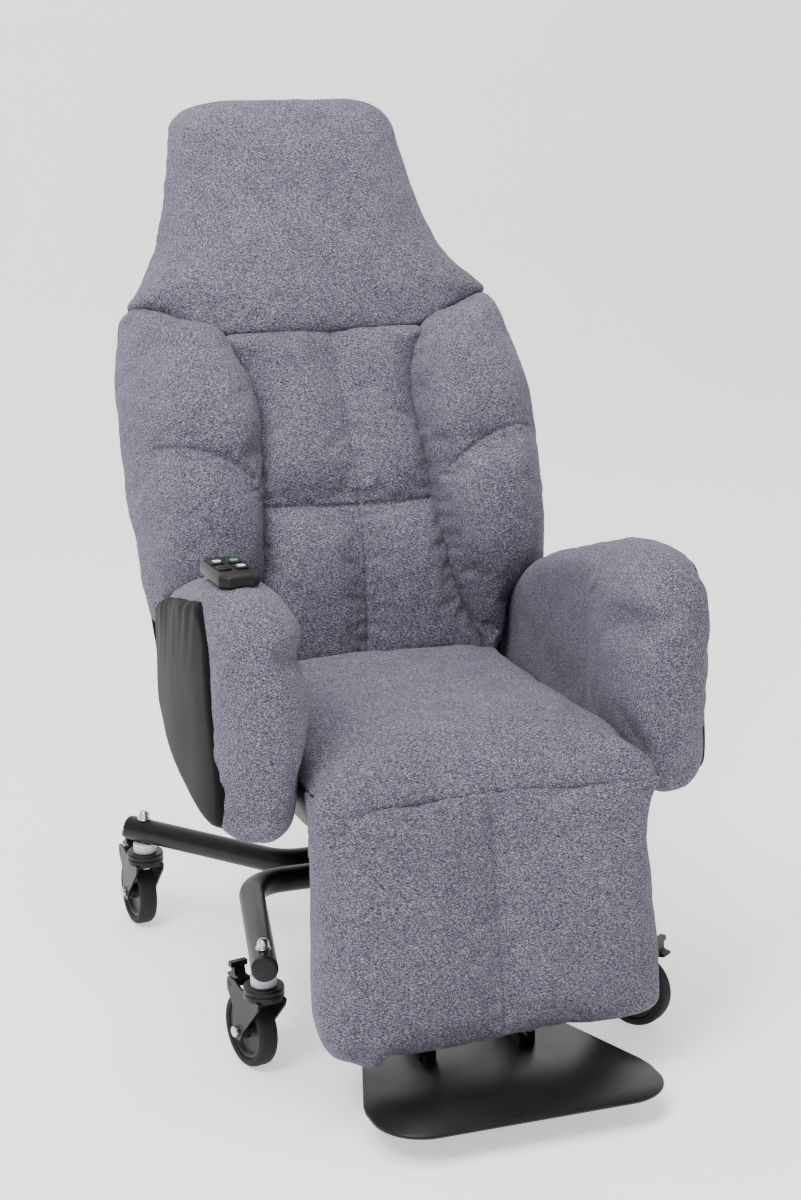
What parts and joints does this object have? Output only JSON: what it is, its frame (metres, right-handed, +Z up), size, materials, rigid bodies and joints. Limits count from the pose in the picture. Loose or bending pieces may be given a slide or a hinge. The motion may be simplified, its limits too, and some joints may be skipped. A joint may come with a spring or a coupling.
{
  "type": "shell recliner chair on casters",
  "caption": "Wheeled shell recliner with winged padded back, padded arms, hanging leg rest, sliding footplate and braked casters.",
  "frame": {"origin": "on the floor at the middle of the chair's box", "axes": "+Z up, the sitter looks along -Y, the sitter's right is -X"},
  "size_m": [0.666, 1.0018, 1.1879],
  "materials": {
    "fabric": "heather grey woven twill, matt",
    "skai": "fine grained black faux leather, soft sheen",
    "black_steel": "satin black powder coat",
    "bare_steel": "bright zinc",
    "tyre": "matt dark grey",
    "black_plastic": "fine moulded texture",
    "grey_plastic": "fine moulded texture",
    "pale_plastic": "smooth"
  },
  "bodies": {
    "base": {"front_tube": "black_steel", "rear_tube": "black_steel", "plug_front_left": "grey_plastic", "plug_front_right": "grey_plastic", "mast": "black_steel", "tilt_pin": "bare_steel", "spacer_front_left": "pale_plastic", "stem_bolt_front_left": "bare_steel", "spacer_front_right": "pale_plastic", "stem_bolt_front_right": "bare_steel", "spacer_rear_left": "pale_plastic", "stem_bolt_rear_left": "bare_steel", "spacer_rear_right": "pale_plastic", "stem_bolt_rear_right": "bare_steel"},
    "swivel_front_left": {"fork_front_left": "black_steel", "axle_bolt_front_left": "bare_steel"},
    "wheel_front_left": {"tyre_front_left": "tyre", "rim_front_left": "black_plastic"},
    "brake_front_left": {"brake_pedal_front_left": "black_plastic"},
    "swivel_front_right": {"fork_front_right": "black_steel", "axle_bolt_front_right": "bare_steel"},
    "wheel_front_right": {"tyre_front_right": "tyre", "rim_front_right": "black_plastic"},
    "brake_front_right": {"brake_pedal_front_right": "black_plastic"},
    "swivel_rear_left": {"fork_rear_left": "black_steel", "axle_bolt_rear_left": "bare_steel"},
    "wheel_rear_left": {"tyre_rear_left": "tyre", "rim_rear_left": "black_plastic"},
    "brake_rear_left": {"brake_pedal_rear_left": "black_plastic"},
    "swivel_rear_right": {"fork_rear_right": "black_steel", "axle_bolt_rear_right": "bare_steel"},
    "wheel_rear_right": {"tyre_rear_right": "tyre", "rim_rear_right": "black_plastic"},
    "brake_rear_right": {"brake_pedal_rear_right": "black_plastic"},
    "seat": {"seat_frame": "black_steel", "seat_pad": "fabric", "arm_pad_left": "fabric", "arm_pad_right": "fabric", "side_panel_left": "skai", "side_panel_right": "skai", "control_box": "black_plastic", "handset_case": "grey_plastic"},
    "back": {"back_frame": "black_steel", "back_pad": "fabric", "wing_left": "fabric", "wing_right": "fabric", "back_cover": "skai", "push_handle": "black_steel"},
    "legrest": {"legrest_frame": "black_steel", "legrest_pad": "fabric"},
    "foot_plate": {"footplate": "black_steel"},
    "tilt_drive_body": {"tilt_actuator_body": "black_plastic"},
    "tilt_drive_rod": {"tilt_actuator_rod": "bare_steel"},
    "recline_drive_body": {"recline_actuator_body": "black_plastic"},
    "recline_drive_rod": {"recline_actuator_rod": "bare_steel"},
    "leg_link": {"legrest_link": "black_steel"},
    "key_back_down": {"button_back_down": "black_plastic"},
    "key_back_up": {"button_back_up": "black_plastic"},
    "key_tilt_down": {"button_tilt_down": "black_plastic"},
    "key_tilt_up": {"button_tilt_up": "black_plastic"}
  },
  "joints": [
    {"name": "caster_swivel_front_left", "type": "hinge", "parent": "base", "child": "swivel_front_left", "pos_m": [-0.246, -0.18987, 0.11], "axis": [0, 0, 1], "continuous": true},
    {"name": "wheel_spin_front_left", "type": "hinge", "parent": "swivel_front_left", "child": "wheel_front_left", "pos_m": [-0.25307, -0.15662, 0.05], "axis": [0.9781, 0.2079, 0], "continuous": true},
    {"name": "brake_press_front_left", "type": "hinge", "parent": "swivel_front_left", "child": "brake_front_left", "pos_m": [-0.25681, -0.13901, 0.109], "axis": [-0.9781, -0.2079, 0], "range_deg": [0, 14]},
    {"name": "caster_swivel_front_right", "type": "hinge", "parent": "base", "child": "swivel_front_right", "pos_m": [0.246, -0.18987, 0.11], "axis": [0, 0, 1], "continuous": true},
    {"name": "wheel_spin_front_right", "type": "hinge", "parent": "swivel_front_right", "child": "wheel_front_right", "pos_m": [0.26452, -0.21839, 0.05], "axis": [-0.8387, -0.5446, 0], "continuous": true},
    {"name": "brake_press_front_right", "type": "hinge", "parent": "swivel_front_right", "child": "brake_front_right", "pos_m": [0.27432, -0.23348, 0.109], "axis": [0.8387, 0.5446, 0], "range_deg": [0, 14]},
    {"name": "caster_swivel_rear_left", "type": "hinge", "parent": "base", "child": "swivel_rear_left", "pos_m": [-0.264, 0.32913, 0.11], "axis": [0, 0, 1], "continuous": true},
    {"name": "wheel_spin_rear_left", "type": "hinge", "parent": "swivel_rear_left", "child": "wheel_rear_left", "pos_m": [-0.26637, 0.36304, 0.05], "axis": [0.9976, 0.0698, 0], "continuous": true},
    {"name": "brake_press_rear_left", "type": "hinge", "parent": "swivel_rear_left", "child": "brake_rear_left", "pos_m": [-0.26763, 0.381, 0.109], "axis": [-0.9976, -0.0698, 0], "range_deg": [0, 14]},
    {"name": "caster_swivel_rear_right", "type": "hinge", "parent": "base", "child": "swivel_rear_right", "pos_m": [0.264, 0.32913, 0.11], "axis": [0, 0, 1], "continuous": true},
    {"name": "wheel_spin_rear_right", "type": "hinge", "parent": "swivel_rear_right", "child": "wheel_rear_right", "pos_m": [0.264, 0.36313, 0.05], "axis": [1, 0, 0], "continuous": true},
    {"name": "brake_press_rear_right", "type": "hinge", "parent": "swivel_rear_right", "child": "brake_rear_right", "pos_m": [0.264, 0.38113, 0.109], "axis": [-1, 0, 0], "range_deg": [0, 14]},
    {"name": "seat_tilt", "type": "hinge", "parent": "base", "child": "seat", "pos_m": [0, 0.08213, 0.305], "axis": [-1, 0, 0], "range_deg": [0, 20]},
    {"name": "back_recline", "type": "hinge", "parent": "seat", "child": "back", "pos_m": [0, 0.17213, 0.4], "axis": [-1, 0, 0], "range_deg": [0, 30]},
    {"name": "legrest_lift", "type": "hinge", "parent": "seat", "child": "legrest", "pos_m": [0, -0.32787, 0.398], "axis": [-1, 0, 0], "range_deg": [0, 75]},
    {"name": "footplate_slide", "type": "slide", "parent": "legrest", "child": "foot_plate", "axis": [0, 1, 0], "range_m": [0, 0.09]},
    {"name": "tilt_drive_swing", "type": "hinge", "parent": "base", "child": "tilt_drive_body", "pos_m": [0, 0.03213, 0.197], "axis": [-1, 0, 0], "range_deg": [-1, 18]},
    {"name": "tilt_drive_extend", "type": "slide", "parent": "tilt_drive_body", "child": "tilt_drive_rod", "axis": [0, -0.8082, 0.5889], "range_m": [-0.001, 0.045]},
    {"name": "recline_drive_swing", "type": "hinge", "parent": "seat", "child": "recline_drive_body", "pos_m": [-0.095, -0.09787, 0.335], "axis": [-1, 0, 0], "range_deg": [-1, 3]},
    {"name": "recline_drive_extend", "type": "slide", "parent": "recline_drive_body", "child": "recline_drive_rod", "axis": [0, 0.9922, -0.1244], "range_m": [-0.06, 0.001]},
    {"name": "leg_link_swing", "type": "hinge", "parent": "back", "child": "leg_link", "pos_m": [0.095, 0.19953, 0.2977], "axis": [-1, 0, 0], "range_deg": [-31, 1]},
    {"name": "press_back_down", "type": "slide", "parent": "seat", "child": "key_back_down", "axis": [0, 0, -1], "range_m": [0, 0.001], "stiffness_N_per_m": 200, "springref_m": -0.0005},
    {"name": "press_back_up", "type": "slide", "parent": "seat", "child": "key_back_up", "axis": [0, 0, -1], "range_m": [0, 0.001], "stiffness_N_per_m": 200, "springref_m": -0.0005},
    {"name": "press_tilt_down", "type": "slide", "parent": "seat", "child": "key_tilt_down", "axis": [0, 0, -1], "range_m": [0, 0.001], "stiffness_N_per_m": 200, "springref_m": -0.0005},
    {"name": "press_tilt_up", "type": "slide", "parent": "seat", "child": "key_tilt_up", "axis": [0, 0, -1], "range_m": [0, 0.001], "stiffness_N_per_m": 200, "springref_m": -0.0005}
  ],
  "couplings": [
    {"joint": "tilt_drive_swing", "follows": "seat_tilt", "ratio": 0.85638},
    {"joint": "tilt_drive_extend", "follows": "seat_tilt", "m_per_rad": 0.11145},
    {"joint": "legrest_lift", "follows": "back_recline", "ratio": 2.5},
    {"joint": "leg_link_swing", "follows": "back_recline", "ratio": -1},
    {"joint": "recline_drive_extend", "follows": "back_recline", "m_per_rad": -0.10271},
    {"joint": "recline_drive_swing", "follows": "back_recline", "ratio": 0.06905}
  ]
}
